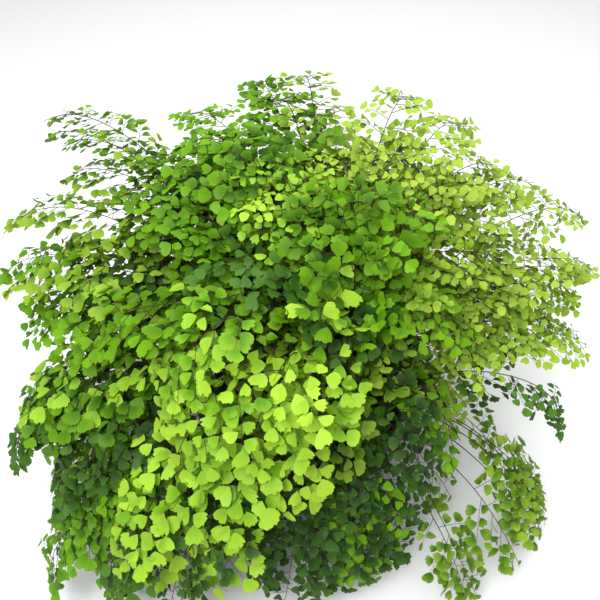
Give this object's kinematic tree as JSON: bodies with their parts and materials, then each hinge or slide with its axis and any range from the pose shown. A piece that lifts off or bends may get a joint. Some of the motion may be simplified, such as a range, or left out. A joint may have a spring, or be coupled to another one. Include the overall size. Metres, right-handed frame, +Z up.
{
  "type": "potted maidenhair fern",
  "caption": "Bushy maidenhair fern with arching wiry stems and fan-shaped leaflets, growing in soil in a plain tapered pot.",
  "frame": {"origin": "middle of the pot's flat foot, on the surface that it stands on", "axes": "+Z up; -Y towards the side with the brightest, lowest-hanging front fronds; +X to the right seen from there"},
  "size_m": [0.6571, 0.5078, 0.3802],
  "materials": {
    "pot": "matte",
    "soil": "matte",
    "leaf_lime": "satin",
    "leaf_yellow": "satin",
    "leaf_green": "satin",
    "leaf_dark": "satin"
  },
  "bodies": {
    "root": {"pot": "pot", "soil": "soil", "frond_front_1": "leaf_lime", "frond_front_2": "leaf_lime", "frond_front_3": "leaf_lime", "frond_front_4": "leaf_lime", "frond_front_5": "leaf_lime", "frond_front_6": "leaf_lime", "frond_front_7": "leaf_lime", "frond_front_8": "leaf_lime", "frond_front_9": "leaf_lime", "frond_left_1": "leaf_green", "frond_left_2": "leaf_green", "frond_left_3": "leaf_green", "frond_left_4": "leaf_green", "frond_left_5": "leaf_green", "frond_upper_left_1": "leaf_dark", "frond_upper_left_2": "leaf_dark", "frond_upper_left_3": "leaf_dark", "frond_top_1": "leaf_green", "frond_top_2": "leaf_green", "frond_top_3": "leaf_green", "frond_top_4": "leaf_green", "frond_crown_1": "leaf_green", "frond_crown_2": "leaf_green", "frond_crown_3": "leaf_green", "frond_crown_4": "leaf_green", "frond_crown_5": "leaf_green", "frond_right_1": "leaf_yellow", "frond_right_2": "leaf_yellow", "frond_right_3": "leaf_yellow", "frond_right_4": "leaf_yellow", "frond_right_5": "leaf_yellow", "frond_right_6": "leaf_yellow", "frond_right_7": "leaf_yellow", "frond_right_8": "leaf_yellow", "frond_right_9": "leaf_yellow", "frond_right_10": "leaf_yellow", "frond_right_skirt_1": "leaf_dark", "frond_right_skirt_2": "leaf_dark", "frond_right_spray_1": "leaf_yellow", "frond_right_spray_2": "leaf_yellow", "frond_right_spray_3": "leaf_yellow", "frond_front_skirt_1": "leaf_dark", "frond_front_skirt_2": "leaf_dark", "frond_front_skirt_3": "leaf_dark", "frond_front_skirt_4": "leaf_dark", "frond_front_skirt_5": "leaf_dark", "frond_front_skirt_6": "leaf_dark", "frond_front_skirt_7": "leaf_dark", "frond_front_skirt_8": "leaf_dark", "frond_back_skirt_1": "leaf_dark", "frond_back_skirt_2": "leaf_dark", "frond_back_skirt_3": "leaf_dark", "frond_back_skirt_4": "leaf_dark", "frond_back_skirt_5": "leaf_dark"}
  },
  "joints": []
}
